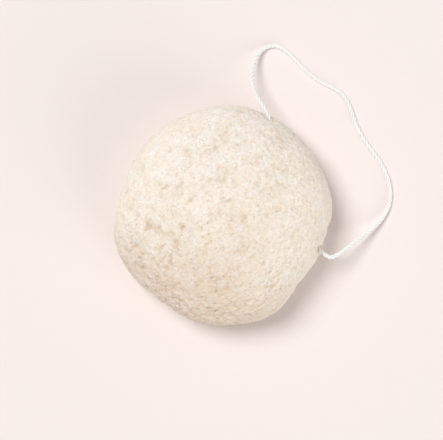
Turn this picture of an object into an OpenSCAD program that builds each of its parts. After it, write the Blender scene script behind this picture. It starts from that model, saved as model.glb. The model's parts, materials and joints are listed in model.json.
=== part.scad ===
// Konjac sponge: a half-ball puff of moulded plant foam with a hanging loop of cotton string.
// The origin is the middle of the flat base, +Z is up through the dome, and lengths are millimetres.
// The loop swings about the straight channel that carries the string through the foam.

/* [Sponge] */
// Diameter at the widest line, before the outline's own unevenness
sponge_d = 80; // [70:1:92]
// Height of the dome above the flat base
sponge_h = 34; // [28:1:42]
// Height of the widest line above the base
belt_z = 9; // [6:0.5:11]
// How far the base's edge is drawn in under the widest line
base_inset = 6; // [3:0.5:9]
// Fullness of the dome: 2 is an ellipse, and more is boxier
dome_power = 2.3; // [2:0.1:2.8]

/* [Dents and creases] */
// Depth of the pressed dents
dent_depth = 1.2; // [0:0.1:1.8]
// Width of a dent, from its middle to where it fades
dent_w = 4.5; // [4:0.5:8]

/* [String] */
// Diameter of the twisted cotton string
string_d = 1.6; // [1.2:0.1:2]
// Length of each cut end beside the knot
tail_l = 5; // [3:0.5:7]

/* [String channel] */
// How far in from the sponge's widest line the channel runs
channel_inset = 11.6; // [10:0.2:14]
// Height of the channel above the base
channel_z = 13; // [11:0.5:15]
// Direction in which the channel lies off the middle, from +X
channel_turn = 21; // [0:1:45]
// Gap between the string and the foam round it
channel_gap = 0.06; // [0.04:0.01:0.12]
// Diameter of the pressed-in mouth where the string comes out
mouth_d = 4.6; // [4:0.2:7]
// Depth of the mouth, along the channel
mouth_depth = 2.8; // [2:0.1:4]
// Gap between the knot and its pocket
pocket_gap = 0.4; // [0.3:0.05:0.8]

/* [Hidden] */
$fn = 64;

// Overrun of a cut past the face that it goes through
overrun = 2;
// Columns round the sponge, and rows from its base edge to the crown
sponge_columns = 60;
edge_rows = 5;
dome_rows = 14;
// Sides of the string's tube
string_sides = 8;

// The outline's radius every 15 degrees, counted from +X towards +Y, as shares of the half diameter
outline_shares = [
    0.990, 0.998, 1.000, 0.995, 1.002, 1.008, 1.004, 0.984, 0.974, 0.960, 0.950, 0.944,
    0.974, 1.012, 0.988, 0.955, 0.944, 0.982, 0.994, 1.002, 1.000, 0.938, 0.926, 0.940];

// Dents: direction from +X in degrees, distance out as a share of the half diameter, and depth as a
// share of dent_depth
dents = [
    [188, 0.64, 0.8], [197, 0.53, 0.8], [212, 0.53, 0.9], [202, 0.40, 0.4], [186, 0.33, 0.6],
    [86, 0.38, 0.7], [92, 0.62, 0.6], [146, 0.49, 0.5], [54, 0.95, 1.2], [199, 0.82, 0.8],
    [226, 0.96, 1.6], [346, 0.74, 0.7], [213, 0.85, 0.7], [261, 0.60, 0.7], [237, 0.57, 0.6],
    [89, 0.72, 0.4], [24, 0.48, 0.5], [0, 0.38, 0.4], [38, 0.70, 0.5], [298, 0.52, 0.5],
    [317, 0.35, 0.4], [273, 0.79, 0.5], [120, 0.66, 0.4], [149, 0.84, 0.5], [239, 0.39, 0.4],
    [289, 0.73, 0.4]];

sponge_r = sponge_d / 2;
string_r = string_d / 2;
channel_r = string_r + channel_gap;
// Distance from the dome's middle line out to the channel
channel_out = sponge_r - channel_inset;

// How far inside the foam's surface the free loop starts
loop_start_inset = 1.5 * string_d;

// The free loop, point by point, as it lies: distance outside the channel, distance along the
// channel from the point nearest the sponge's middle, and height of the string's underside
loop_points = [
    [-0.3, 31.0, 12.1], [-1.0, 34.5, 11.2], [-1.3, 38.0, 9.7], [-0.7, 41.8, 7.7], [0.8, 45.5, 5.5],
    [3.1, 48.8, 3.2], [6.2, 51.2, 1.2], [9.7, 52.0, 0.2], [13.0, 50.8, 0.0], [15.3, 47.8, 0.0],
    [17.0, 44.2, 0.0], [18.6, 40.4, 0.0], [20.5, 36.7, 0.0], [22.9, 33.1, 0.0], [26.0, 29.8, 0.0],
    [28.5, 26.3, 0.0], [29.5, 22.3, 0.0], [29.5, 18.1, 0.0], [29.4, 14.0, 0.0], [29.8, 9.8, 0.0],
    [30.6, 5.6, 0.0], [31.8, 1.4, 0.0], [32.8, -2.8, 0.0], [33.2, -7.0, 0.0], [32.9, -11.2, 0.0],
    [31.8, -15.2, 0.0], [29.5, -18.8, 0.1], [26.3, -21.5, 0.6], [22.8, -23.4, 1.6], [19.0, -24.7, 3.1],
    [15.2, -25.7, 4.9], [11.6, -26.7, 6.8], [8.2, -27.6, 8.6], [5.2, -28.2, 10.2], [2.3, -27.7, 11.6]];

// Where the chosen strand of the knot runs, as shares of the string's diameter: along the channel,
// across it, and up. The strand comes in, turns back at the far side and goes out beside itself.
knot_shares = [
    [4.6, 0.00, 0.00], [3.9, 0.15, 0.05], [3.1, 0.46, 0.22], [2.4, 0.56, 0.54], [1.7, 0.57, 0.60],
    [1.25, 0.58, 0.42], [0.9, 0.62, 0.00], [0.5, 0.74, -0.42], [0.0, 1.15, -0.58], [-0.5, 1.58, -0.42],
    [-0.9, 1.72, 0.00], [-1.3, 1.60, 0.42], [-1.75, 1.00, 0.60], [-2.0, 0.00, 0.62],
    [-1.75, -1.00, 0.60], [-1.3, -1.60, 0.42], [-0.9, -1.72, 0.00], [-0.5, -1.58, -0.42],
    [0.0, -1.15, -0.58], [0.5, -0.74, -0.42], [0.9, -0.62, 0.00], [1.25, -0.58, 0.42],
    [1.7, -0.57, 0.60], [2.4, -0.56, 0.54], [3.1, -0.80, 0.22], [3.9, -1.08, 0.05], [4.6, -1.12, 0.00]];
// Straight start of each strand, square to the run that it meets, as a share of the diameter
knot_start_share = 0.5;
knot_reach = (knot_shares[0][0] + knot_start_share) * string_d;
// How far the knot's turns reach from the channel's line, how long they are, and how far the cut
// ends reach from that line, as shares of the string's diameter
turns_r_share = 2.22;
turns_half_l_share = 2.5;
tails_r_share = 1.62;
// Steps between two neighbouring points of the knot's strand
knot_steps = 2;

// A smooth value between four evenly spaced ones, at the share f from the second to the third
function smooth4(a, b, c, d, f) =
    b + f * ((c - a) / 2 + f * (a - 2.5 * b + 2 * c - d / 2 + f * (3 * (b - c) + d - a) / 2));

// The outline's share at an angle
function outline_share(angle) =
    let (n = len(outline_shares), t = (angle + 360) / 360 * n, i = floor(t))
    smooth4(outline_shares[(i - 1) % n], outline_shares[i % n],
            outline_shares[(i + 1) % n], outline_shares[(i + 2) % n], t - i);

// The dome's radius at a height above the widest line
function dome_r(z) = sponge_r * pow(1 - pow((z - belt_z) / (sponge_h - belt_z), dome_power), 1 / dome_power);

// The profile from the base's edge to just under the crown, as [radius, height]
edge_profile = [for (i = [0:edge_rows])
    let (a = 90 * (1 - i / edge_rows))
    [sponge_r - base_inset * (1 - cos(a)), belt_z * (1 - sin(a))]];
dome_profile = [for (i = [1:dome_rows])
    let (a = 90 * i / (dome_rows + 1), c = cos(a), s = sin(a),
         k = pow(pow(c, dome_power) + pow(s, dome_power), -1 / dome_power))
    [sponge_r * k * c, belt_z + (sponge_h - belt_z) * k * s]];
profile = concat(edge_profile, dome_profile);

// How deep the dents press a point of the dome, seen from above
function dent(x, y) = dent_depth * sum([for (d = dents)
    let (out = d[1] * sponge_r, dx = x - out * cos(d[0]), dy = y - out * sin(d[0]))
    d[2] * exp(-(dx * dx + dy * dy) / (dent_w * dent_w))]);
function sum(list) = list * [for (item = list) 1];

// A point of the foam's skin, pressed down by the dents above the widest line
function skin_point(p, angle) =
    let (r = p[0] * outline_share(angle), x = r * cos(angle), y = r * sin(angle),
         lift_share = max(0, (p[1] - belt_z) / (sponge_h - belt_z)))
    [x, y, p[1] - lift_share * dent(x, y)];

// A tube of triangles round a path: its rings lie square to the path at each point
function unit(v) = v / norm(v);
function heading(path, i) =
    unit(path[min(i + 1, len(path) - 1)] - path[max(i - 1, 0)]);
function squared(v, along) = unit(v - (v * along) * along);
function ring_sides(path) =
    [for (i = 0, side = squared([0, 0, 1], heading(path, 0)); i < len(path);
          i = i + 1, side = i < len(path) ? squared(side, heading(path, i)) : side) side];

module tube(path, radius, sides) {
    side_dirs = ring_sides(path);
    n = len(path);
    points = [for (i = [0:n - 1], j = [0:sides - 1])
        let (a = 360 * j / sides, across = cross(heading(path, i), side_dirs[i]))
        path[i] + radius * (cos(a) * side_dirs[i] + sin(a) * across)];
    walls = [for (i = [0:n - 2], j = [0:sides - 1])
        let (a = i * sides + j, b = i * sides + (j + 1) % sides)
        each [[a, a + sides, b], [b, a + sides, b + sides]]];
    start_cap = [for (j = [1:sides - 2]) [0, j, j + 1]];
    end_first = (n - 1) * sides;
    end_cap = [for (j = [1:sides - 2]) [end_first, end_first + j + 1, end_first + j]];
    polyhedron(points, concat(walls, start_cap, end_cap));
}

// Where the straight channel leaves the foam, along the channel, on the side of the given sign
function exit_along(sign, guess, turns) =
    turns == 0 ? guess :
    let (angle = channel_turn + sign * atan2(guess, channel_out),
         r = dome_r(channel_z) * outline_share(angle))
    exit_along(sign, sqrt(r * r - channel_out * channel_out), turns - 1);
exit_turns = 6;
upper_exit = exit_along(1, sponge_r / 2, exit_turns);
lower_exit = exit_along(-1, sponge_r / 2, exit_turns);
upper_end = upper_exit - loop_start_inset;
lower_end = lower_exit - loop_start_inset;

// The pocket's middle, halfway between the two mouths
knot_along = (upper_exit - lower_exit) / 2;
turns_pocket_r = turns_r_share * string_d + pocket_gap;
turns_pocket_half_l = turns_half_l_share * string_d + pocket_gap;
tails_pocket_r = tails_r_share * string_d + pocket_gap;
tails_pocket_half_l = knot_reach + tail_l + pocket_gap;
// Length over which the pocket narrows to the channel
pocket_taper = 2 * string_d;

// The channel's own place: local +Z runs along it towards the upper mouth, and local +X points out
module on_channel() {
    rotate([0, 0, channel_turn]) translate([channel_out, 0, channel_z]) rotate([-90, 0, 0]) children();
}

// The skin's rows as one closed solid with a flat base
module foam_blank() {
    rows = len(profile);
    n = sponge_columns;
    crown = rows * n;
    skin = [for (p = profile, j = [0:n - 1]) skin_point(p, 360 * j / n)];
    crown_z = sponge_h - dent(0, 0);
    walls = [for (i = [0:rows - 2], j = [0:n - 1])
        let (a = i * n + j, b = i * n + (j + 1) % n)
        each [[a, a + n, b], [b, a + n, b + n]]];
    top = [for (j = [0:n - 1]) [crown - n + j, crown, crown - n + (j + 1) % n]];
    base = [for (j = [0:n - 1]) [j, (j + 1) % n, crown + 1]];
    polyhedron(concat(skin, [[0, 0, crown_z], [0, 0, 0]]), concat(walls, top, base));
}

// The funnel that the string has pressed into the skin at one mouth
module mouth(sign, exit) {
    translate([0, 0, sign > 0 ? exit - mouth_depth : -exit - overrun])
    cylinder(h = mouth_depth + overrun,
             r1 = sign > 0 ? channel_r : mouth_d / 2,
             r2 = sign > 0 ? mouth_d / 2 : channel_r);
}

// The space that the knot and its cut ends have pressed in the foam
module knot_pocket() {
    half = [[channel_r, tails_pocket_half_l + pocket_taper], [tails_pocket_r, tails_pocket_half_l],
            [tails_pocket_r, turns_pocket_half_l + turns_pocket_r - tails_pocket_r],
            [turns_pocket_r, turns_pocket_half_l]];
    other_half = [for (i = [len(half) - 1:-1:0]) [half[i][0], -half[i][1]]];
    translate([0, 0, knot_along]) rotate_extrude()
    polygon(concat([[0, half[0][1]]], half, other_half, [[0, -half[0][1]]]));
}

module sponge_body() {
    color("#f2e6d6")
    difference() {
        foam_blank();
        on_channel() {
            translate([0, 0, -lower_exit - overrun])
            cylinder(h = upper_exit + lower_exit + 2 * overrun, r = channel_r);
            mouth(1, upper_exit);
            mouth(-1, lower_exit);
            knot_pocket();
        }
    }
}

// The free stretch: out of the upper mouth, down to the surface, round, and back up to the lower one
module string_loop() {
    centre_drop = channel_z - string_r;
    path = concat(
        [[0, upper_end, centre_drop], [0, upper_exit, centre_drop]],
        loop_points,
        [[0, -lower_exit, centre_drop], [0, -lower_end, centre_drop]]);
    color("#fdfaf5")
    rotate([0, 0, channel_turn]) translate([channel_out, 0, string_r])
    tube(path, string_r, string_sides);
}

// A straight run of string in the channel, between two places along it
module string_run(from, to) {
    color("#fdfaf5") on_channel() translate([0, 0, from]) cylinder(h = to - from, r = string_r);
}
module upper_string_run() { string_run(knot_along + knot_reach, upper_end); }
module lower_string_run() { string_run(-lower_end, knot_along - knot_reach); }

// The knot's strand as a smooth path, with its straight start and its cut end added
function knot_path() =
    let (p = knot_shares, last = len(p) - 1)
    concat(
        [[knot_reach, 0, 0]],
        [for (i = [0:last - 1], s = [0:knot_steps - 1])
            string_d * smooth4(p[max(i - 1, 0)], p[i], p[i + 1], p[min(i + 2, last)], s / knot_steps)],
        [string_d * p[last], string_d * p[last] + [knot_start_share * string_d + tail_l, 0, 0]]);

// A reef knot: two strands, each turned back round the other, with a cut end lying by each run
module string_knot() {
    color("#f7f2ea") on_channel() translate([0, 0, knot_along]) rotate([0, -90, 0])
    for (turn = [0, 180]) rotate([0, turn, 0]) tube(knot_path(), string_r, string_sides);
}

sponge_body();
string_loop();
upper_string_run();
lower_string_run();
string_knot();
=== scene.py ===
"""Konjac sponge on a hanging loop of cotton string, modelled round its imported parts.

The foam and the string are made here at full detail, each in the place that its plain solid
holds. Lengths are metres, and +Z is up through the crown of the sponge.
"""

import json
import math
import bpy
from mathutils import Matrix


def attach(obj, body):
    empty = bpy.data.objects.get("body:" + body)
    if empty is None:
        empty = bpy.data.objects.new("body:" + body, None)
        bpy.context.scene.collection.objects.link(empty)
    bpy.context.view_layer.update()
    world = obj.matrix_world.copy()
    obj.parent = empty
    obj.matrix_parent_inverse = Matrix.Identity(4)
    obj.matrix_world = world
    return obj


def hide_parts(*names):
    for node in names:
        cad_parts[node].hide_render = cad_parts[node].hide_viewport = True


bl_info = {
    "name": "Konjac Sponge",
    "version": (1, 0, 0),
    "blender": (4, 5, 0),
    "location": "3D View > Sidebar > Sponge",
    "description": "Models a konjac sponge and its hanging loop of twisted cotton string",
    "category": "Add Mesh",
}

import bmesh
import bpy
import numpy as np
from bpy.props import FloatProperty, FloatVectorProperty, IntProperty, PointerProperty
from mathutils import Matrix, Vector, noise

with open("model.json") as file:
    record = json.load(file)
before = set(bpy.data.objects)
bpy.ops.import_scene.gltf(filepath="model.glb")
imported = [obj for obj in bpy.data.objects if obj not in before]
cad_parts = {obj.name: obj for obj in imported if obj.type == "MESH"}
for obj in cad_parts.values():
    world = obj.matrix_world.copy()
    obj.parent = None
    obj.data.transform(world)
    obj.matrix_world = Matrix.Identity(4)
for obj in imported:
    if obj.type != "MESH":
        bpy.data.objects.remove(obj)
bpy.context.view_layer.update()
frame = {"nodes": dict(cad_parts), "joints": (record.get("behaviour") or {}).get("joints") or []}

MM = 0.001

# The sponge's form, as its solid has it
SPONGE_R = 40 * MM
SPONGE_H = 34 * MM
BELT_Z = 9 * MM
BASE_INSET = 6 * MM
DOME_POWER = 2.3

# The straight channel that carries the string is the axis that the loop swings about
SWING = frame["joints"][0]
CHANNEL_MIDDLE = Vector(SWING["pos_m"])
ALONG = -Vector(SWING["axis"]).normalized()
UP = Vector((0, 0, 1))
OUT = ALONG.cross(UP)


def span_along_channel(node):
    """The lowest and highest place of a solid along the channel."""
    places = [(v.co - CHANNEL_MIDDLE).dot(ALONG) for v in frame["nodes"][node].data.vertices]
    return min(places), max(places)


LOOP_START_INSET = 2.4 * MM
UPPER_KNOT_END, UPPER_END = span_along_channel("upper_string_run")
LOWER_END, LOWER_KNOT_END = span_along_channel("lower_string_run")
UPPER_EXIT = UPPER_END + LOOP_START_INSET
LOWER_EXIT = LOWER_END - LOOP_START_INSET
KNOT_MIDDLE = (UPPER_KNOT_END + LOWER_KNOT_END) / 2

# The free loop as it lies, in millimetres: distance outside the channel, distance along it, and
# height of the string's underside
LOOP_POINTS = [
    (-0.3, 31.0, 12.1), (-1.0, 34.5, 11.2), (-1.3, 38.0, 9.7), (-0.7, 41.8, 7.7), (0.8, 45.5, 5.5),
    (3.1, 48.8, 3.2), (6.2, 51.2, 1.2), (9.7, 52.0, 0.2), (13.0, 50.8, 0.0), (15.3, 47.8, 0.0),
    (17.0, 44.2, 0.0), (18.6, 40.4, 0.0), (20.5, 36.7, 0.0), (22.9, 33.1, 0.0), (26.0, 29.8, 0.0),
    (28.5, 26.3, 0.0), (29.5, 22.3, 0.0), (29.5, 18.1, 0.0), (29.4, 14.0, 0.0), (29.8, 9.8, 0.0),
    (30.6, 5.6, 0.0), (31.8, 1.4, 0.0), (32.8, -2.8, 0.0), (33.2, -7.0, 0.0), (32.9, -11.2, 0.0),
    (31.8, -15.2, 0.0), (29.5, -18.8, 0.1), (26.3, -21.5, 0.6), (22.8, -23.4, 1.6), (19.0, -24.7, 3.1),
    (15.2, -25.7, 4.9), (11.6, -26.7, 6.8), (8.2, -27.6, 8.6), (5.2, -28.2, 10.2), (2.3, -27.7, 11.6),
]

# One strand of the reef knot, in diameters of the string: along the channel, across it, and up
KNOT_SHARES = [
    (4.6, 0.00, 0.00), (3.9, 0.15, 0.05), (3.1, 0.46, 0.22), (2.4, 0.56, 0.54), (1.7, 0.57, 0.60),
    (1.25, 0.58, 0.42), (0.9, 0.62, 0.00), (0.5, 0.74, -0.42), (0.0, 1.15, -0.58), (-0.5, 1.58, -0.42),
    (-0.9, 1.72, 0.00), (-1.3, 1.60, 0.42), (-1.75, 1.00, 0.60), (-2.0, 0.00, 0.62),
    (-1.75, -1.00, 0.60), (-1.3, -1.60, 0.42), (-0.9, -1.72, 0.00), (-0.5, -1.58, -0.42),
    (0.0, -1.15, -0.58), (0.5, -0.74, -0.42), (0.9, -0.62, 0.00), (1.25, -0.58, 0.42),
    (1.7, -0.57, 0.60), (2.4, -0.56, 0.54), (3.1, -0.80, 0.22), (3.9, -1.08, 0.05), (4.6, -1.12, 0.00),
]
KNOT_START_SHARE = 0.5
TAIL_L = 5 * MM

# How far the knot reaches, in diameters: its tails and its turns from the middle line, and its
# turns along the channel
KNOT_TAILS_R = 1.62
KNOT_TURNS_R = 2.22
KNOT_TURNS_HALF = 2.5

# The channel in the foam, the room round the knot, and one mouth: radius, and distance outside the
# place where the loop comes out
CHANNEL_R = 0.86 * MM
KNOT_ROOM = 0.4 * MM
MOUTH_STEPS = [
    (0.0, 3.2 * MM),
    (1.7 * MM, 3.2 * MM),
    (1.4 * MM, 0.0),
    (1.02 * MM, -1.0 * MM),
    (CHANNEL_R, -2.2 * MM),
]

# The way in which the foam's soft lumps are drawn out, and by how much
GRAIN = Vector((0.77, 0.64, 0))
GRAIN_SHARE = 0.35

# The sponge's outline every 10 degrees from +X towards +Y, as shares of its half diameter
OUTLINE_SHARES = [
    0.991, 1.003, 1.000, 0.998, 0.996, 0.997, 1.004, 1.007, 1.013, 1.004, 0.991, 0.978,
    0.974, 0.965, 0.955, 0.949, 0.942, 0.953, 0.975, 1.006, 1.003, 0.989, 0.972, 0.954,
    0.957, 0.982, 0.992, 0.990, 0.995, 1.004, 0.998, 0.955, 0.925, 0.930, 0.962, 0.962,
]

# Small steps in the rim: direction from +X in degrees, half width and depth in millimetres
RIM_STEPS = [
    (354, 1.7, 0.6), (346.5, 1.5, 1.0), (337, 1.2, 0.5), (318, 2.0, 0.4), (229, 1.8, 0.8),
    (262, 2.2, 0.5), (240, 1.6, 0.3), (196, 1.8, 0.3), (152, 1.6, 0.3), (27, 2.0, 0.3), (103, 1.8, 0.3),
]

# Dents: direction from +X in degrees, distance out as a share of the radius, and depth as a share
# of the full depth
DENTS = [
    (188, 0.64, 0.8), (197, 0.53, 0.8), (212, 0.53, 0.9), (202, 0.40, 0.4), (186, 0.33, 0.6),
    (86, 0.38, 0.7), (92, 0.62, 0.6), (146, 0.49, 0.5), (54, 0.95, 1.2), (199, 0.82, 0.8),
    (226, 0.96, 1.6), (346, 0.74, 0.7), (213, 0.85, 0.7), (261, 0.60, 0.7), (237, 0.57, 0.6),
    (89, 0.72, 0.4), (24, 0.48, 0.5), (0, 0.38, 0.4), (38, 0.70, 0.5), (298, 0.52, 0.5),
    (317, 0.35, 0.4), (273, 0.79, 0.5), (120, 0.66, 0.4), (149, 0.84, 0.5), (239, 0.39, 0.4),
    (289, 0.73, 0.4),
]
DENT_DEPTH = 1.2 * MM
DENT_W = 4.5 * MM

# The grooves that the string presses at the two mouths: their depths, and how far they reach to
# the sides, up, down and back
UPPER_GROOVE_DEPTH = 1.9 * MM
LOWER_GROOVE_DEPTH = 3.0 * MM
GROOVE_HALF_W = 1.5 * MM
GROOVE_TOP = 4.5 * MM
GROOVE_BOTTOM = 1.6 * MM
GROOVE_REACH = 7 * MM

# How near to a mouth the foam gets painted shade: across the channel and along it
MOUTH_NEAR_R = 2.1 * MM
MOUTH_NEAR_L = 4 * MM

# How far the rim's steps reach up and down
RIM_STEP_H = 6 * MM

# How far a crease strays from its points, in millimetres, and how often it does
CREASE_STRAY = 0.7
STRAY_SPACING = 2.2 * MM

# Narrow creases and dimples, in millimetres: width, depth and the points that each one follows
CREASES = [
    (1.1, 0.38, [(-27.2, -2.7), (-24.3, -4.2), (-21.4, -5.9), (-18.0, -6.6)]),
    (1.0, 0.34, [(-11.7, -0.3), (-13.1, -3.7), (-14.4, -6.1), (-15.8, -8.6), (-16.8, -9.9)]),
    (1.1, 0.26, [(2.3, 32.5), (0.7, 27.5), (-2.5, 23.5)]),
    (1.1, 0.24, [(1.6, 16.6), (1.1, 14.7), (0.2, 12.6)]),
    (1.0, 0.20, [(0.2, 12.6), (0.1, 6.8), (-1.1, 0.3), (-3.0, -1.7), (-5.9, -3.6), (-8.8, -3.9)]),
    (1.0, 0.16, [(-20.9, 5.6), (-17.5, 8.3), (-13.6, 10.2), (-8.8, 11.1)]),
    (1.2, 0.26, [(-12.9, 23.2), (-12.4, 22.7)]),
    (1.4, 0.28, [(20.2, 27.8), (23.2, 25.4)]),
    (1.3, 0.32, [(-3.0, -23.0), (-4.0, -25.4)]),
    (1.1, 0.22, [(2.3, -22.8), (2.6, -23.6)]),
    (1.2, 0.26, [(-7.4, -13.4), (-8.0, -15.0)]),
    (1.8, 0.22, [(-11.0, -17.8), (-13.8, -17.6)]),
    (1.2, 0.20, [(-16.4, -13.2), (-17.8, -13.8)]),
    (1.4, 0.34, [(-32.3, -9.6), (-31.4, -10.6)]),
    (1.4, 0.28, [(-30.0, -17.0), (-28.6, -18.2)]),
    (1.3, 0.22, [(8.2, -17.4), (9.4, -18.6)]),
    (1.2, 0.20, [(10.6, -9.2), (11.0, -10.6)]),
    (1.1, 0.20, [(1.8, -11.6), (2.1, -12.4)]),
    (1.3, 0.24, [(17.7, 8.4), (18.1, 7.4)]),
    (1.2, 0.24, [(15.0, 0.6), (15.8, 0.0)]),
    (1.2, 0.22, [(21.9, 18.2), (22.4, 17.2)]),
    (1.3, 0.22, [(-29.0, 17.4), (-29.6, 16.0)]),
    (1.2, 0.20, [(-23.2, 12.8), (-22.6, 12.0)]),
    (1.2, 0.20, [(7.2, -2.9), (8.2, -3.5)]),
    (1.5, 0.26, [(0.2, -31.8), (4.6, -32.0)]),
    (1.3, 0.24, [(-4.8, -33.6), (-3.8, -34.4)]),
]

# Where the three parts of a random step are read from the noise, and where the pores are read
STEP_SHIFTS = [Vector((9.3, 1.5, 7.9)), Vector((2.7, 6.2, 4.4)), Vector((5.1, 8.6, 3.2))]
PORE_SHIFT = Vector((11.3, 4.7, 8.1))

# Patches where the painted shade and warm bounce light of the lower side is stronger or weaker: middle and
# reach as shares of the half diameter, and the share of that painted shade that each one adds
SHADE_PATCHES = [(0.50, 0.15, 0.70, 0.42), (0.66, -0.55, 0.60, -0.60), (-0.42, 0.15, 0.70, -0.15)]

# Blotches in the foam's colour: waves to the metre, the noise above which there is none, and shade
BLOTCHES = [
    (90, 0.64, (0.985, 0.965, 0.935)),
    (280, 0.64, (0.975, 0.935, 0.875)),
    (620, 0.64, (0.945, 0.925, 0.90)),
    (1350, 0.60, (0.92, 0.91, 0.895)),
]

# Fine dots of painted shade for pores too fine for the mesh: cells to the metre, and their reach as a share
# of a cell
DOTS = [(430, 0.28), (740, 0.40)]
DOT_STRENGTH = 0.52

# Where the camera is over the floor, and each lamp's spread in degrees and direction
CAMERA_X = -0.36 * MM
CAMERA_Y = -1.45 * MM
SUN_SPREAD = 28
SUN_FROM = (-0.38, 0.30, 0.88)
FILL_SPREAD = 50
FILL_FROM = (0.66, -0.66, 0.34)


# Settings that a user would change


class StringSettings(bpy.types.PropertyGroup):
    """Sizes and colour of the twisted cotton string."""

    diameter: FloatProperty(
        name="Diameter", description="Across the crests of the plies", default=1.6 * MM, unit="LENGTH"
    )
    plies: IntProperty(name="Plies", description="Number of yarns twisted together", default=3)
    pitch: FloatProperty(
        name="Pitch", description="Length of one full turn of the twist", default=5.5 * MM, unit="LENGTH"
    )
    ring_step: FloatProperty(
        name="Ring step", description="Length between two rings of a ply", default=0.18 * MM, unit="LENGTH"
    )
    ply_sides: IntProperty(name="Ply sides", description="Points round one ply", default=14)
    colour: FloatVectorProperty(
        name="Cotton", description="Colour of the fibres", default=(0.945, 0.935, 0.91), subtype="COLOR"
    )
    dull_share: FloatProperty(
        name="Dull share", description="Brightness of the duller fibres beside the others", default=0.91
    )
    # Painted shade between the plies
    crevice_shade_colour: FloatVectorProperty(
        name="Crevice", description="Colour between the plies", default=(0.72, 0.69, 0.645), subtype="COLOR"
    )


class FoamSettings(bpy.types.PropertyGroup):
    """Sizes and colours of the konjac foam."""

    edge_length: FloatProperty(
        name="Mesh edge", description="Edge of the foam's quads", default=0.26 * MM, unit="LENGTH"
    )
    lump_height: FloatProperty(
        name="Lump height", description="Height of the soft lumps", default=1.0 * MM, unit="LENGTH"
    )
    pore_spacing: FloatProperty(
        name="Pore spacing", description="Distance between the larger pores", default=1.4 * MM, unit="LENGTH"
    )
    granule_size: FloatProperty(
        name="Granule size", description="Distance between two granules", default=1.7 * MM, unit="LENGTH"
    )
    crease_depth: FloatProperty(
        name="Crease depth", description="Depth between two granules", default=0.12 * MM, unit="LENGTH"
    )
    wrinkle_depth: FloatProperty(
        name="Wrinkle depth", description="Depth of the soft wrinkles", default=0.14 * MM, unit="LENGTH"
    )
    pore_depth: FloatProperty(
        name="Pore depth", description="Depth of the larger pores", default=0.55 * MM, unit="LENGTH"
    )
    colour: FloatVectorProperty(
        name="Foam", description="Colour of the dry foam", default=(0.98, 0.937, 0.89), subtype="COLOR"
    )
    # Painted shade and warm bounce light: the darker, warmer colour of the lower side
    shaded_side_colour: FloatVectorProperty(
        name="Shaded side",
        description="Colour of the warmer side",
        default=(0.835, 0.745, 0.66),
        subtype="COLOR",
    )
    # Painted shade inside the pores
    pore_shade_colour: FloatVectorProperty(
        name="Pore", description="Colour inside the pores", default=(0.56, 0.49, 0.42), subtype="COLOR"
    )
    # Painted shade, tinted warm, deep in the creases, dents, hollows and the string's mouths
    crease_shade_colour: FloatVectorProperty(
        name="Crease", description="Colour deep in the creases", default=(0.70, 0.55, 0.40), subtype="COLOR"
    )
    speck_colour: FloatVectorProperty(
        name="Speck", description="Colour of the few specks", default=(0.62, 0.46, 0.28), subtype="COLOR"
    )


class StageSettings(bpy.types.PropertyGroup):
    """Floor, lights and camera."""

    camera_height: FloatProperty(
        name="Camera height", description="Height of the camera above the floor", default=0.909, unit="LENGTH"
    )
    lens: FloatProperty(name="Lens", description="Focal length in millimetres", default=201.2)
    floor_colour: FloatVectorProperty(
        name="Floor", description="Colour of the floor", default=(0.864, 0.783, 0.754), subtype="COLOR"
    )
    horizon_colour: FloatVectorProperty(
        name="Horizon",
        description="Colour seen past the floor",
        default=(0.947, 0.855, 0.823),
        subtype="COLOR",
    )
    sun_strength: FloatProperty(name="Sun", description="Strength of the soft key light", default=2.04)
    fill_strength: FloatProperty(name="Fill", description="Strength of the fill from the right", default=1.33)
    sky_strength: FloatProperty(name="Sky", description="Strength of the even light", default=0.38)


# Small helpers


def place(out, along, rise):
    """A point given outside the channel, along it, and above its middle line."""
    return CHANNEL_MIDDLE + out * OUT + along * ALONG + rise * UP


def finished_object(name, mesh, material):
    """An object at the origin that shows the mesh with one material, shaded smooth."""
    made = bpy.data.objects.new(name, mesh)
    bpy.context.scene.collection.objects.link(made)
    mesh.materials.clear()
    mesh.materials.append(material)
    mesh.shade_smooth()
    return made


def mesh_from(bm, name):
    """The bmesh as a mesh, after which the bmesh is freed."""
    mesh = bpy.data.meshes.new(name)
    bm.to_mesh(mesh)
    bm.free()
    return mesh


def applied_mesh(holder):
    """The mesh of an object with its modifiers applied."""
    bpy.context.view_layer.update()
    evaluated = holder.evaluated_get(bpy.context.evaluated_depsgraph_get())
    return bpy.data.meshes.new_from_object(evaluated)


def points_of(mesh):
    """The places of a mesh's vertices, as an array."""
    flat = np.zeros(len(mesh.vertices) * 3, np.float32)
    mesh.vertices.foreach_get("co", flat)
    return flat.reshape(-1, 3).astype(float)


def normals_of(mesh):
    """The normals at a mesh's vertices, as an array."""
    flat = np.zeros(len(mesh.vertices) * 3, np.float32)
    mesh.vertex_normals.foreach_get("vector", flat)
    return flat.reshape(-1, 3).astype(float)


def move_points(mesh, points):
    """Puts a mesh's vertices at the places in an array."""
    mesh.vertices.foreach_set("co", points.astype(np.float32).ravel())
    mesh.update()


def random_step(point):
    """A smooth random step, each part from -1 to 1, that is the same in every run."""
    return Vector([noise.noise(point + shift) for shift in STEP_SHIFTS])


def add_node(tree, kind, settings=None, inputs=None):
    """A shader node with its settings and its unlinked inputs filled in."""
    made = tree.nodes.new(kind)
    for name, value in (settings or {}).items():
        setattr(made, name, value)
    for name, value in (inputs or {}).items():
        made.inputs[name].default_value = value
    return made


def mixed_colours(tree, factor, first, second, blend="MIX"):
    """A colour mixed from two colours or sockets by a factor socket."""
    mix = add_node(tree, "ShaderNodeMix", {"data_type": "RGBA", "blend_type": blend})
    if isinstance(factor, (int, float)):
        mix.inputs["Factor"].default_value = factor
    else:
        tree.links.new(factor, mix.inputs["Factor"])
    for socket, source in ((mix.inputs[6], first), (mix.inputs[7], second)):
        if isinstance(source, bpy.types.NodeSocket):
            tree.links.new(source, socket)
        else:
            socket.default_value = (*source, 1)
    return mix.outputs[2]


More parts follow.
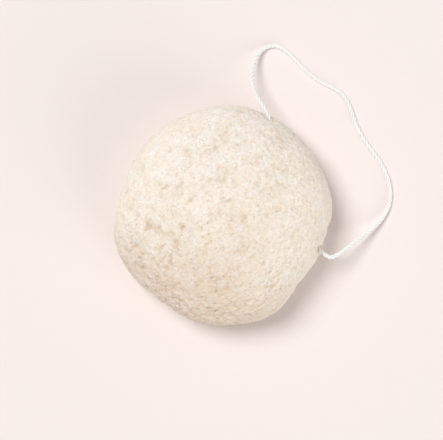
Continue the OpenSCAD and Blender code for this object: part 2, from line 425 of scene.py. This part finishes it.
def ranged(tree, source, low, high, to_low=0.0, to_high=1.0):
    """A socket's value stretched from one range to another, and held inside it."""
    stretch = add_node(
        tree,
        "ShaderNodeMapRange",
        inputs={"From Min": low, "From Max": high, "To Min": to_low, "To Max": to_high},
    )
    tree.links.new(source, stretch.inputs["Value"])
    return stretch.outputs["Result"]


def noise_value(tree, coordinates, scale, detail=2.0, roughness=0.5):
    """A noise socket at so many waves to the metre."""
    made = add_node(
        tree,
        "ShaderNodeTexNoise",
        inputs={"Scale": scale, "Detail": detail, "Roughness": roughness},
    )
    tree.links.new(coordinates, made.inputs["Vector"])
    return made.outputs["Fac"]


def bumped(tree, height, distance, strength, under=None):
    """A bump of a given depth over the surface, or over another bump."""
    bump = add_node(tree, "ShaderNodeBump", inputs={"Distance": distance, "Strength": strength})
    tree.links.new(height, bump.inputs["Height"])
    if under is not None:
        tree.links.new(under, bump.inputs["Normal"])
    return bump.outputs["Normal"]


# The string


def smooth_between(a, b, c, d, f):
    """The smooth curve from b to c at a share f of the way, where a is before b and d after c."""
    return b + f * ((c - a) / 2 + f * (a - 2.5 * b + 2 * c - d / 2 + f * (3 * (b - c) + d - a) / 2))


def smooth_line(points, per_step):
    """The smooth curve through evenly spread points, with so many points to each step."""
    p = np.array([tuple(q) for q in points])
    p = np.vstack([2 * p[0] - p[1], p, 2 * p[-1] - p[-2]])
    a, b, c, d = p[:-3, None], p[1:-2, None], p[2:-1, None], p[3:, None]
    shares = np.linspace(0, 1, per_step, endpoint=False)[None, :, None]
    return np.vstack([smooth_between(a, b, c, d, shares).reshape(-1, 3), p[-2:-1]])


def straight_points(start, end, spacing=3 * MM):
    """Points on a straight line, without its last one."""
    count = max(1, round((end - start).length / spacing))
    return [start.lerp(end, i / count) for i in range(count)]


def knot_strand(diameter, turn):
    """The knot's strand from the run that it meets to its cut end; turn is 1 or -1."""
    last = KNOT_SHARES[-1]
    shares = [(KNOT_SHARES[0][0] + KNOT_START_SHARE, 0, 0), *KNOT_SHARES]
    shares += [(last[0] + share, *last[1:]) for share in (1.2, 2.4, KNOT_START_SHARE + TAIL_L / diameter)]
    return [
        place(-turn * up * diameter, KNOT_MIDDLE + turn * along * diameter, -across * diameter)
        for along, across, up in shares
    ]


class StringRoute:
    """The whole string as one smooth line, from one cut end to the other.

    Its bounds are the lengths along it where its strand, run, loop, run and strand begin and end.
    """

    PER_STEP = 24

    def __init__(self, diameter):
        first_strand = knot_strand(diameter, 1)[::-1]
        second_strand = knot_strand(diameter, -1)
        drop = diameter / 2 - CHANNEL_MIDDLE.z
        loop = [place(0, UPPER_END, 0), place(0, UPPER_EXIT, 0)]
        loop += [place(out * MM, along * MM, lift * MM + drop) for out, along, lift in LOOP_POINTS]
        loop += [place(0, LOWER_EXIT, 0)]
        parts = [
            first_strand[:-1],
            straight_points(place(0, UPPER_KNOT_END, 0), place(0, UPPER_END, 0)),
            loop,
            straight_points(place(0, LOWER_END, 0), place(0, LOWER_KNOT_END, 0)),
            second_strand,
        ]
        self.line = smooth_line([p for part in parts for p in part], self.PER_STEP)
        steps = np.linalg.norm(np.diff(self.line, axis=0), axis=1)
        self.along = np.concatenate([[0], np.cumsum(steps)])
        counts = np.cumsum([len(part) for part in parts])
        starts = [0, *counts[:-1], counts[-1] - 1]
        self.bounds = [float(self.along[i * self.PER_STEP]) for i in starts]
        self.turned_sides()

    def turned_sides(self):
        """Two directions square to the line at each point, turned as little as possible."""
        headings = np.gradient(self.line, axis=0)
        headings /= np.linalg.norm(headings, axis=1, keepdims=True)
        side = np.array(UP)
        self.sides = np.zeros_like(self.line)
        for i, heading in enumerate(headings):
            side = side - side.dot(heading) * heading
            side /= np.linalg.norm(side)
            self.sides[i] = side
        self.across = np.cross(headings, self.sides)

    def at(self, values, lengths):
        """Values of the line's points at the given lengths along it."""
        return np.stack([np.interp(lengths, self.along, values[:, k]) for k in range(3)], axis=1)

    def lay(self, straight):
        """Points of a straight string, with its length along z, laid along the line."""
        x, y, lengths = straight.T
        return (
            self.at(self.line, lengths)
            + x[:, None] * self.at(self.sides, lengths)
            + y[:, None] * self.at(self.across, lengths)
        )


def ply_twist(settings, length):
    """A short piece of the plies in which each ends where the next began, its length and count."""
    count = max(1, round(length / settings.pitch * settings.plies))
    module = length / count
    ply_r = settings.diameter / 4
    helix_r = settings.diameter / 2 - ply_r
    part = math.tau / settings.plies
    tilt = math.atan(part * helix_r / module)
    bm = bmesh.new()
    for ply in range(settings.plies):
        circle = bmesh.ops.create_circle(bm, segments=settings.ply_sides, radius=ply_r)["verts"]
        turn = Matrix.Rotation(part * ply, 4, "Z") @ Matrix.Translation((helix_r, 0, 0))
        bmesh.ops.transform(bm, matrix=turn @ Matrix.Rotation(-tilt, 4, "X"), verts=circle)
    steps = max(2, round(module / settings.ring_step))
    bmesh.ops.spin(
        bm,
        geom=bm.edges[:],
        cent=(0, 0, 0),
        axis=(0, 0, 1),
        dvec=(0, 0, module / steps),
        angle=part,
        steps=steps,
        use_merge=False,
        use_duplicate=False,
    )
    return mesh_from(bm, "ply_twist"), module, count


def add_plies(bm, settings, first, last):
    """Adds the twisted plies of a straight length of string to a bmesh, with closed ends."""
    mesh, module, count = ply_twist(settings, last - first)
    holder = bpy.data.objects.new("ply_holder", mesh)
    bpy.context.scene.collection.objects.link(holder)
    repeat = holder.modifiers.new("Repeat", "ARRAY")
    repeat.count = count
    repeat.use_relative_offset = False
    repeat.use_constant_offset = True
    repeat.constant_offset_displace = (0, 0, module)
    repeat.use_merge_vertices = True
    repeat.merge_threshold = 0.002 * MM
    straight = applied_mesh(holder)
    bpy.data.objects.remove(holder)
    straight.transform(Matrix.Translation((0, 0, first)))
    bm.from_mesh(straight)
    bmesh.ops.holes_fill(bm, edges=[e for e in bm.edges if e.is_boundary], sides=0)


def string_mesh(name, settings, route, spans):
    """Lengths of the twisted string, made straight and then laid along the route."""
    bm = bmesh.new()
    for first, last in spans:
        add_plies(bm, settings, first, last)
    bmesh.ops.recalc_face_normals(bm, faces=bm.faces)
    mesh = mesh_from(bm, name)
    straight = points_of(mesh)
    kept = mesh.attributes.new("straight_string", "FLOAT_VECTOR", "POINT")
    kept.data.foreach_set("vector", straight.astype(np.float32).ravel())
    loosened = np.array([fibre_relief(p, settings.diameter) for p in straight])
    straight[:, :2] *= loosened[:, None]
    move_points(mesh, route.lay(straight))
    return mesh


def fibre_relief(point, diameter):
    """How far a point of the straight string moves out or in, for its uneven spinning."""
    x, y, z = point / diameter
    slow = noise.noise(Vector((x * 1.1, y * 1.1, z * 0.45)))
    quick = noise.noise(Vector((x * 5.5, y * 5.5, z * 1.1)) + Vector((7, 3, 1)))
    return 1 + 0.03 * slow + 0.035 * quick - 0.02


def cotton_material(settings):
    """White cotton with fibres along the string and shade between the plies."""
    material = bpy.data.materials.new("white_cotton")
    material.use_nodes = True
    tree = material.node_tree
    shader = tree.nodes["Principled BSDF"]
    straight = add_node(tree, "ShaderNodeAttribute", {"attribute_name": "straight_string"})
    flat = add_node(tree, "ShaderNodeMapping", inputs={"Scale": (1, 1, 0)})
    tree.links.new(straight.outputs["Vector"], flat.inputs["Vector"])
    reach = add_node(tree, "ShaderNodeVectorMath", {"operation": "LENGTH"})
    tree.links.new(flat.outputs["Vector"], reach.inputs[0])
    crest = ranged(tree, reach.outputs["Value"], 0.27 * settings.diameter, 0.43 * settings.diameter)
    drawn_out = add_node(tree, "ShaderNodeMapping", inputs={"Scale": (1, 1, 0.06)})
    tree.links.new(straight.outputs["Vector"], drawn_out.inputs["Vector"])
    fibres = noise_value(tree, drawn_out.outputs["Vector"], 9000, 3.0, 0.6)
    # Painted shade between the plies, darkest where they meet
    base = mixed_colours(tree, crest, tuple(settings.crevice_shade_colour), tuple(settings.colour))
    streaks = ranged(tree, fibres, 0.35, 0.65, 0.0, 1.0)
    dull = tuple(settings.dull_share * c for c in settings.colour)
    base = mixed_colours(tree, streaks, mixed_colours(tree, 0.5, base, dull), base)
    tree.links.new(base, shader.inputs["Base Color"])
    tree.links.new(bumped(tree, fibres, 0.06 * MM, 0.6), shader.inputs["Normal"])
    shader.inputs["Roughness"].default_value = 0.9
    shader.inputs["Specular IOR Level"].default_value = 0.2
    shader.inputs["Sheen Weight"].default_value = 0.25
    shader.inputs["Sheen Roughness"].default_value = 0.6
    return material


# The foam


def outline_share(turn):
    """The outline's share of the radius at an angle from +X, in radians."""
    count = len(OUTLINE_SHARES)
    t = (turn / math.tau) % 1 * count
    i = int(t)
    return smooth_between(*(OUTLINE_SHARES[(i + k) % count] for k in (-1, 0, 1, 2)), t - i)


def foam_profile(share):
    """Radius and height on the sponge's profile: 0 is the crown and 1 is the base's middle."""
    dome_share, edge_share = 0.56, 0.70
    if share < dome_share:
        angle = math.pi / 2 * (1 - share / dome_share)
        c, s = math.cos(angle), math.sin(angle)
        k = (abs(c) ** DOME_POWER + abs(s) ** DOME_POWER) ** (-1 / DOME_POWER)
        return SPONGE_R * k * c, BELT_Z + (SPONGE_H - BELT_Z) * k * s
    if share < edge_share:
        angle = math.pi / 2 * (share - dome_share) / (edge_share - dome_share)
        return SPONGE_R - BASE_INSET * (1 - math.cos(angle)), BELT_Z * (1 - math.sin(angle))
    return (SPONGE_R - BASE_INSET) * (1 - share) / (1 - edge_share), 0.0


def foam_blank(edge_length):
    """A ball drawn into the sponge's half-ball form, in even quads."""
    bm = bmesh.new()
    bmesh.ops.create_uvsphere(bm, u_segments=200, v_segments=140, radius=1)
    for vert in bm.verts:
        turn = math.atan2(vert.co.y, vert.co.x)
        radius, height = foam_profile(math.acos(max(-1, min(1, vert.co.z))) / math.pi)
        radius *= outline_share(turn)
        vert.co = (radius * math.cos(turn), radius * math.sin(turn), height)
    bmesh.ops.recalc_face_normals(bm, faces=bm.faces)
    return even_quads(mesh_from(bm, "foam_blank"), edge_length)


def even_quads(mesh, edge_length):
    """The same closed form remeshed in even quads."""
    holder = bpy.data.objects.new("remesh_holder", mesh)
    bpy.context.scene.collection.objects.link(holder)
    remesh = holder.modifiers.new("Remesh", "REMESH")
    remesh.mode = "VOXEL"
    remesh.voxel_size = edge_length
    made = applied_mesh(holder)
    bpy.data.objects.remove(holder)
    bpy.data.meshes.remove(mesh)
    return made


def distance_to_line(x, y, line):
    """How far points seen from above are from a line of points."""
    best = np.full(len(x), np.inf)
    for (ax, ay), (bx, by) in zip(line[:-1], line[1:]):
        ex, ey = bx - ax, by - ay
        f = np.clip(((x - ax) * ex + (y - ay) * ey) / (ex * ex + ey * ey), 0, 1)
        best = np.minimum(best, np.hypot(x - ax - f * ex, y - ay - f * ey))
    return best


def pressed_depths(points):
    """How deep the wide dents, and the narrow creases, press each point of the dome."""
    x, y, z = points.T
    lift = np.clip((z - BELT_Z) / (SPONGE_H - BELT_Z), 0, 1)
    wide = np.zeros(len(points))
    narrow = np.zeros(len(points))
    for angle, share, deep in DENTS:
        cx = share * SPONGE_R * math.cos(math.radians(angle))
        cy = share * SPONGE_R * math.sin(math.radians(angle))
        wide += lift * deep * DENT_DEPTH * np.exp(-((x - cx) ** 2 + (y - cy) ** 2) / DENT_W**2)
    strayed = np.array([random_step(Vector(p) / STRAY_SPACING) for p in points])
    strength = np.clip(0.85 + strayed[:, 2], 0.35, 1.3) * (z > BELT_Z)
    shifted = CREASE_STRAY * strayed
    for width, deep, line in CREASES:
        away = distance_to_line(x / MM + shifted[:, 0], y / MM + shifted[:, 1], line)
        narrow += strength * deep * MM * np.exp(-((away / width) ** 2))
    return wide, narrow


def roughness(point, outward):
    """The share of its full relief that the foam has at a point: most at the lower left."""
    x, y = point.x / SPONGE_R, point.y / SPONGE_R
    seen_from_above = 1.23 - 0.30 * x - 0.50 * y + 0.55 * x * y - 0.55 * x * x
    return seen_from_above * (0.6 + 0.4 * max(0.0, outward[2]))


def rim_steps(points):
    """How far the small steps in the rim press each point towards the sponge's middle line."""
    x, y, z = points.T
    turns = np.arctan2(y, x)
    pressed = np.zeros(len(points))
    for angle, half_width, deep in RIM_STEPS:
        apart = (turns - math.radians(angle) + math.pi) % math.tau - math.pi
        pressed += deep * MM * np.exp(-((apart * SPONGE_R / (half_width * MM)) ** 2))
    return pressed * np.exp(-(((z - BELT_Z) / RIM_STEP_H) ** 2))


def pore(point, spacing, largest, offset):
    """The share of its full depth that a pore has at a point, in cells of one size."""
    near, places = noise.voronoi(point / spacing + offset)
    chance = noise.cell(places[0] * 31.7)
    edge = max(0.0, 1 - near[0] / (largest * (0.6 + 0.4 * chance)))
    return edge * edge * (3 - 2 * edge) * (0.45 + 0.55 * chance)


def lumps(point):
    """The height of the foam's soft lumps at a point, from about -1 to 1."""
    p = point / MM
    p -= GRAIN_SHARE * p.dot(GRAIN) * GRAIN
    return (
        0.07 * noise.noise(p / 8.0 + Vector((5, 1, 2)))
        + 0.28 * noise.noise(p / 3.4 + Vector((1, 8, 4)))
        + 0.38 * noise.noise(p / 1.8 + Vector((3, 2, 9)))
        + 0.20 * noise.noise(p / 0.9 + Vector((6, 6, 3)))
        - 0.1
    )


def between_granules(point, spacing):
    """How near a point is to the crease between two granules, from 0 to 1."""
    bent = point + 0.3 * spacing * random_step(point / (1.3 * spacing))
    near = noise.voronoi(bent / spacing)[0]
    return max(0.0, 1 - (near[1] - near[0]) / 0.32)


def wrinkle(point):
    """How near a point is to one of the soft wrinkles that wander over the foam, from 0 to 1."""
    p = point / MM
    away = noise.noise(p / 8 + Vector((2, 7, 5))) + 0.55 * noise.noise(p / 2.3 + Vector((8, 3, 1)))
    kept = 3 * noise.noise(p / 10 + Vector((9, 1, 4))) + 0.5
    return max(0.0, 1 - abs(away) / 0.22) * min(1.0, max(0.0, kept))


def openness(point):
    """How open the foam's skin is at a point: its pores come in patches."""
    return min(1.0, max(0.25, 0.7 + 1.6 * noise.noise(point / (5.5 * MM) + Vector((4, 4, 8)))))


def nearness_to_mouths(points):
    """How near points are to the two mouths that the string has pressed in, from 0 to 1."""
    away = points - np.array(CHANNEL_MIDDLE)
    along = away @ np.array(ALONG)
    aside = np.linalg.norm(away - along[:, None] * np.array(ALONG), axis=1)
    return sum(
        np.exp(-((aside / MOUTH_NEAR_R) ** 2) - ((along - mouth) / MOUTH_NEAR_L) ** 2)
        for mouth in (UPPER_EXIT, LOWER_EXIT)
    )


def string_grooves(points):
    """How the string presses each point back where it comes out over the rim."""
    moved = np.zeros_like(points)
    for mouth, first_free, deep in (
        (UPPER_EXIT, LOOP_POINTS[0], UPPER_GROOVE_DEPTH),
        (LOWER_EXIT, LOOP_POINTS[-1], LOWER_GROOVE_DEPTH),
    ):
        way_back = place(0, mouth, 0) - place(first_free[0] * MM, first_free[1] * MM, 0)
        back = np.array(way_back.normalized())
        away = points - np.array(place(0, mouth, 0))
        side = away @ np.cross(np.array(UP), back)
        reach = np.where(away[:, 2] > 0, GROOVE_TOP, GROOVE_BOTTOM)
        near = (side / GROOVE_HALF_W) ** 2 + (away[:, 2] / reach) ** 2 + (away @ back / GROOVE_REACH) ** 2
        moved += deep * np.exp(-near)[:, None] * back
    return moved


def channel_cutter(diameter):
    """The space that the string and its knot hold in the foam, as a closed solid."""
    tails_r = KNOT_TAILS_R * diameter + KNOT_ROOM
    turns_r = KNOT_TURNS_R * diameter + KNOT_ROOM
    turns_half = KNOT_TURNS_HALF * diameter + KNOT_ROOM
    tails_half = UPPER_KNOT_END - KNOT_MIDDLE + TAIL_L + KNOT_ROOM
    taper = 2 * diameter
    knot_steps = [
        (CHANNEL_R, tails_half + taper),
        (tails_r, tails_half),
        (tails_r, turns_half + turns_r - tails_r),
        (turns_r, turns_half),
    ]
    profile = [(radius, UPPER_EXIT + outside) for radius, outside in MOUTH_STEPS]
    profile += [(radius, KNOT_MIDDLE + away) for radius, away in knot_steps]
    profile += [(radius, KNOT_MIDDLE - away) for radius, away in reversed(knot_steps)]
    profile += [(radius, LOWER_EXIT - outside) for radius, outside in reversed(MOUTH_STEPS)]
    bm = bmesh.new()
    verts = [bm.verts.new((radius, 0, along)) for radius, along in profile]
    edges = [bm.edges.new(pair) for pair in zip(verts[:-1], verts[1:])]
    bmesh.ops.spin(
        bm, geom=verts + edges, cent=(0, 0, 0), axis=(0, 0, 1), angle=math.tau, steps=28, use_merge=True
    )
    bmesh.ops.remove_doubles(bm, verts=bm.verts, dist=0.001 * MM)
    bmesh.ops.recalc_face_normals(bm, faces=bm.faces)
    turned = Matrix.Translation(CHANNEL_MIDDLE) @ channel_axes()
    bmesh.ops.transform(bm, matrix=turned, verts=bm.verts)
    return mesh_from(bm, "channel_cutter")


def channel_axes():
    """The turn that takes +Z to the channel's own direction."""
    return Matrix((OUT, ALONG.cross(OUT), ALONG)).transposed().to_4x4()


def cut_channel(mesh, diameter):
    """The foam's mesh with the string's channel and the knot's pocket cut through it."""
    foam = bpy.data.objects.new("foam_holder", mesh)
    cutter = bpy.data.objects.new("cutter_holder", channel_cutter(diameter))
    for holder in (foam, cutter):
        bpy.context.scene.collection.objects.link(holder)
    cut = foam.modifiers.new("Channel", "BOOLEAN")
    cut.operation = "DIFFERENCE"
    cut.object = cutter
    cut.solver = "MANIFOLD"
    made = applied_mesh(foam)
    for holder in (foam, cutter):
        bpy.data.objects.remove(holder)
    return made


def finer_relief(point, outward, settings):
    """How far the foam's finer relief moves a point outwards, how deep its pores are there, and how much
    painted shade its granule creases, wrinkles and hollows get.
    """
    large = pore(point, settings.pore_spacing, 0.5, PORE_SHIFT)
    small = pore(point, 0.65 * settings.pore_spacing, 0.55, 2 * PORE_SHIFT)
    between = between_granules(point, settings.granule_size)
    hollow = openness(point) * min(1.0, large + 0.6 * small)
    lined = wrinkle(point)
    lump = lumps(point)
    rough = roughness(point, outward)
    shift = rough * (
        settings.lump_height * lump
        - settings.pore_depth * hollow
        - settings.crease_depth * between
        - settings.wrinkle_depth * lined
    )
    return shift, rough * hollow, rough * (0.12 * between + 0.2 * lined + 2.0 * max(0.0, -0.18 - lump))


def foam_mesh(settings, diameter):
    """The sponge with its dents, lumps and open pores, and the way for the string."""
    mesh = foam_blank(settings.edge_length)
    points = points_of(mesh)
    wide, narrow = pressed_depths(points)
    points[:, 2] -= wide + narrow
    reach = np.hypot(points[:, 0], points[:, 1]) + 0.001 * MM
    points[:, :2] *= (1 - rim_steps(points) / reach)[:, None]
    # Painted shade, tinted warm: darker colour where the narrow creases and wide dents press in and round the
    # string's mouths
    recess_shade = 1.2 * narrow / MM + 0.1 * wide / MM + 0.8 * nearness_to_mouths(points)
    points += string_grooves(points)
    move_points(mesh, points)
    points, outward = points_of(mesh), normals_of(mesh)
    finer = np.array([finer_relief(Vector(p), n, settings) for p, n in zip(points, outward)])
    points += finer[:, :1] * outward
    points[:, 2] = np.maximum(points[:, 2], 0)
    for name, values in (("pore_depth", finer[:, 1]), ("painted_recess_shade", recess_shade + finer[:, 2])):
        kept = mesh.attributes.new(name, "FLOAT", "POINT")
        kept.data.foreach_set("value", np.minimum(1, values).astype(np.float32))
    move_points(mesh, points)
    return cut_channel(mesh, diameter)


def painted_shade_share(tree, here):
    """A socket with the share of the painted shade and warm bounce light: most below, and more or less in
    patches.
    """
    low_side = add_node(tree, "ShaderNodeVectorMath", {"operation": "DOT_PRODUCT"})
    low_side.inputs[1].default_value = (0, -1, 0)
    tree.links.new(here, low_side.inputs[0])
    share = ranged(tree, low_side.outputs["Value"], -0.1 * SPONGE_R, 0.7 * SPONGE_R)
    from_above = add_node(tree, "ShaderNodeMapping", inputs={"Scale": (1, 1, 0)})
    tree.links.new(here, from_above.inputs["Vector"])
    for x, y, reach, warmer in SHADE_PATCHES:
        away = add_node(tree, "ShaderNodeVectorMath", {"operation": "DISTANCE"})
        away.inputs[1].default_value = (x * SPONGE_R, y * SPONGE_R, 0)
        tree.links.new(from_above.outputs["Vector"], away.inputs[0])
        patch = ranged(tree, away.outputs["Value"], 0, reach * SPONGE_R, warmer, 0.0)
        summed = add_node(tree, "ShaderNodeMath", {"operation": "ADD", "use_clamp": True})
        tree.links.new(share, summed.inputs[0])
        tree.links.new(patch, summed.inputs[1])
        share = summed.outputs["Value"]
    return share


def speck_mask(tree, here):
    """A socket that is above zero only in a few small specks."""
    cells = add_node(tree, "ShaderNodeTexVoronoi", inputs={"Scale": 210})
    tree.links.new(here, cells.inputs["Vector"])
    dot = ranged(tree, cells.outputs["Distance"], 0.05, 0.10, 0.7, 0.0)
    parted = add_node(tree, "ShaderNodeSeparateColor")
    tree.links.new(cells.outputs["Color"], parted.inputs["Color"])
    chosen = ranged(tree, parted.outputs["Red"], 0.80, 0.82)
    both = add_node(tree, "ShaderNodeMath", {"operation": "MULTIPLY"})
    tree.links.new(dot, both.inputs[0])
    tree.links.new(chosen, both.inputs[1])
    return both.outputs["Value"]


def foam_colour(tree, here, settings):
    """A socket with the foam's colour: its blotches and specks, the painted shade and warm bounce light of
    its lower side, and the painted shade of its creases, pores and dots.
    """
    # Painted shade and warm bounce light, darkest and warmest towards the bottom
    base = mixed_colours(tree, painted_shade_share(tree, here), tuple(settings.colour), tuple(settings.shaded_side_colour))
    for scale, high, shade in BLOTCHES:
        blotch = ranged(tree, noise_value(tree, here, scale, 3.0, 0.6), 0.36, high, 1.0, 0.0)
        base = mixed_colours(tree, blotch, base, shade, "MULTIPLY")
    # Painted shade, tinted warm, in the creases, dents, hollows and mouths, and inside the larger pores
    for name, low, high, most, colour in (
        ("painted_recess_shade", 0.08, 0.95, 0.8, settings.crease_shade_colour),
        ("pore_depth", 0.1, 0.9, 0.6, settings.pore_shade_colour),
    ):
        kept = add_node(tree, "ShaderNodeAttribute", {"attribute_name": name})
        shown = ranged(tree, kept.outputs["Fac"], low, high, 0.0, most)
        base = mixed_colours(tree, shown, base, tuple(colour))
    # Painted shade of the pores too fine for the mesh, in patches
    for scale, reach in DOTS:
        dots = add_node(tree, "ShaderNodeTexVoronoi", inputs={"Scale": scale})
        tree.links.new(here, dots.inputs["Vector"])
        patches = add_node(tree, "ShaderNodeMath", {"operation": "MULTIPLY"})
        tree.links.new(ranged(tree, dots.outputs["Distance"], 0, reach, 1.0, 0.0), patches.inputs[0])
        tree.links.new(ranged(tree, noise_value(tree, here, scale / 2.6), 0.35, 0.62), patches.inputs[1])
        dark = ranged(tree, patches.outputs["Value"], 0, 1, 0.0, DOT_STRENGTH)
        base = mixed_colours(tree, dark, base, tuple(settings.pore_shade_colour))
    return mixed_colours(tree, speck_mask(tree, here), base, tuple(settings.speck_colour))


def foam_grain(tree, here):
    """A socket with the normal of the foam's finest cells and grain."""
    cells = add_node(tree, "ShaderNodeTexVoronoi", inputs={"Scale": 1900})
    tree.links.new(here, cells.inputs["Vector"])
    celled = bumped(tree, ranged(tree, cells.outputs["Distance"], 0.0, 0.6), 0.08 * MM, 0.4)
    return bumped(tree, noise_value(tree, here, 5200, 2.0), 0.05 * MM, 0.35, celled)


def foam_material(settings):
    """Matte cream foam with painted shade in its pores and creases, a fine grain and a few tan specks."""
    material = bpy.data.materials.new("dry_konjac_foam")
    material.use_nodes = True
    tree = material.node_tree
    shader = tree.nodes["Principled BSDF"]
    here = add_node(tree, "ShaderNodeTexCoord").outputs["Object"]
    tree.links.new(foam_colour(tree, here, settings), shader.inputs["Base Color"])
    tree.links.new(foam_grain(tree, here), shader.inputs["Normal"])
    shader.inputs["Roughness"].default_value = 0.95
    shader.inputs["Specular IOR Level"].default_value = 0.12
    shader.inputs["Subsurface Weight"].default_value = 0.15
    shader.inputs["Subsurface Radius"].default_value = (1.0, 0.72, 0.5)
    shader.inputs["Subsurface Scale"].default_value = 1.2 * MM
    return material


# The stage


def add_camera(settings):
    """The camera straight above the sponge, as in the photograph."""
    data = bpy.data.cameras.new("top_camera")
    data.lens = settings.lens
    data.sensor_width = 36
    data.clip_end = 50
    camera = bpy.data.objects.new("top_camera", data)
    camera.location = (CAMERA_X, CAMERA_Y, settings.camera_height)
    bpy.context.scene.collection.objects.link(camera)
    bpy.context.scene.camera = camera


def add_sun(name, strength, spread, toward):
    """A soft lamp that shines from one direction, as wide as the spread in degrees."""
    data = bpy.data.lights.new(name, "SUN")
    data.energy = strength
    data.angle = math.radians(spread)
    lamp = bpy.data.objects.new(name, data)
    lamp.rotation_euler = Vector(toward).to_track_quat("Z", "Y").to_euler()
    bpy.context.scene.collection.objects.link(lamp)


def add_floor(settings):
    """A wide pale floor under the object."""
    bm = bmesh.new()
    bmesh.ops.create_circle(bm, cap_ends=True, segments=64, radius=4)
    mesh = mesh_from(bm, "floor")
    material = bpy.data.materials.new("pale_floor")
    material.use_nodes = True
    shader = material.node_tree.nodes["Principled BSDF"]
    shader.inputs["Base Color"].default_value = (*settings.floor_colour, 1)
    shader.inputs["Roughness"].default_value = 1
    shader.inputs["Specular IOR Level"].default_value = 0
    finished_object("floor", mesh, material)


def set_world(settings):
    """Even light all round, and the horizon's colour where the camera sees past the floor."""
    world = bpy.data.worlds.new("even_light")
    world.use_nodes = True
    tree = world.node_tree
    light = tree.nodes["Background"]
    light.inputs["Color"].default_value = (1, 1, 1, 1)
    light.inputs["Strength"].default_value = settings.sky_strength
    horizon = (*settings.horizon_colour, 1)
    seen = add_node(tree, "ShaderNodeBackground", inputs={"Color": horizon, "Strength": 1})
    path = add_node(tree, "ShaderNodeLightPath")
    mix = add_node(tree, "ShaderNodeMixShader")
    tree.links.new(path.outputs["Is Camera Ray"], mix.inputs[0])
    tree.links.new(light.outputs[0], mix.inputs[1])
    tree.links.new(seen.outputs[0], mix.inputs[2])
    tree.links.new(mix.outputs[0], tree.nodes["World Output"].inputs["Surface"])
    bpy.context.scene.world = world


# Operators


class SPONGE_OT_stage(bpy.types.Operator):
    """Adds the camera, the lights and the floor"""

    bl_idname = "sponge.stage"
    bl_label = "Stage"

    def execute(self, context):
        settings = context.scene.sponge_stage
        add_camera(settings)
        add_sun("soft_sun", settings.sun_strength, SUN_SPREAD, SUN_FROM)
        add_sun("side_fill", settings.fill_strength, FILL_SPREAD, FILL_FROM)
        add_floor(settings)
        set_world(settings)
        context.scene.view_settings.view_transform = "Standard"
        return {"FINISHED"}


class SPONGE_OT_hanging_loop(bpy.types.Operator):
    """Models the free loop of twisted string"""

    bl_idname = "sponge.hanging_loop"
    bl_label = "Hanging loop"

    def execute(self, context):
        settings = context.scene.sponge_string
        route = StringRoute(settings.diameter)
        first, last = route.bounds[2], route.bounds[3]
        mesh = string_mesh("cotton_loop", settings, route, [(first, last)])
        loop = finished_object("cotton_loop", mesh, cotton_material(settings))
        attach(loop, "hanging_loop")
        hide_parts("string_loop")
        return {"FINISHED"}


class SPONGE_OT_inner_string(bpy.types.Operator):
    """Models the string's runs and its knot inside the foam"""

    bl_idname = "sponge.inner_string"
    bl_label = "String inside"

    def execute(self, context):
        settings = context.scene.sponge_string
        route = StringRoute(settings.diameter)
        b = route.bounds
        cotton = bpy.data.materials["white_cotton"]
        for name, node, spans in (
            ("cotton_upper_run", "upper_string_run", [(b[1], b[2])]),
            ("cotton_lower_run", "lower_string_run", [(b[3], b[4])]),
            ("cotton_knot", "string_knot", [(b[0], b[1]), (b[4], b[5])]),
        ):
            piece = finished_object(name, string_mesh(name, settings, route, spans), cotton)
            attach(piece, "hanging_loop")
            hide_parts(node)
        return {"FINISHED"}


class SPONGE_OT_foam(bpy.types.Operator):
    """Models the porous foam body"""

    bl_idname = "sponge.foam"
    bl_label = "Foam body"

    def execute(self, context):
        settings = context.scene.sponge_foam
        mesh = foam_mesh(settings, context.scene.sponge_string.diameter)
        foam = finished_object("konjac_foam_body", mesh, foam_material(settings))
        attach(foam, "sponge")
        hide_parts("sponge_body")
        return {"FINISHED"}


class SPONGE_PT_panel(bpy.types.Panel):
    """Lists the sponge's pieces and their settings"""

    bl_label = "Konjac Sponge"
    bl_space_type = "VIEW_3D"
    bl_region_type = "UI"
    bl_category = "Sponge"

    def draw(self, context):
        for operator, settings in (
            (SPONGE_OT_stage, "sponge_stage"),
            (SPONGE_OT_hanging_loop, "sponge_string"),
            (SPONGE_OT_inner_string, None),
            (SPONGE_OT_foam, "sponge_foam"),
        ):
            self.layout.operator(operator.bl_idname)
            if settings:
                group = getattr(context.scene, settings)
                for name in group.__annotations__:
                    self.layout.prop(group, name)


SETTINGS = {
    "sponge_stage": StageSettings,
    "sponge_string": StringSettings,
    "sponge_foam": FoamSettings,
}
OPERATORS = (SPONGE_OT_stage, SPONGE_OT_hanging_loop, SPONGE_OT_inner_string, SPONGE_OT_foam)


def register():
    """Adds the settings, the operators and the panel to Blender."""
    for name, group in SETTINGS.items():
        bpy.utils.register_class(group)
        setattr(bpy.types.Scene, name, PointerProperty(type=group))
    for operator in OPERATORS:
        bpy.utils.register_class(operator)
    bpy.utils.register_class(SPONGE_PT_panel)


def unregister():
    """Takes the panel, the operators and the settings out of Blender."""
    bpy.utils.unregister_class(SPONGE_PT_panel)
    for operator in reversed(OPERATORS):
        bpy.utils.unregister_class(operator)
    for name, group in reversed(SETTINGS.items()):
        delattr(bpy.types.Scene, name)
        bpy.utils.unregister_class(group)


def main():
    """Models the whole scene."""
    register()
    bpy.ops.sponge.stage()
    bpy.ops.sponge.hanging_loop()
    bpy.ops.sponge.inner_string()
    bpy.ops.sponge.foam()


if __name__ == "__main__":
    main()
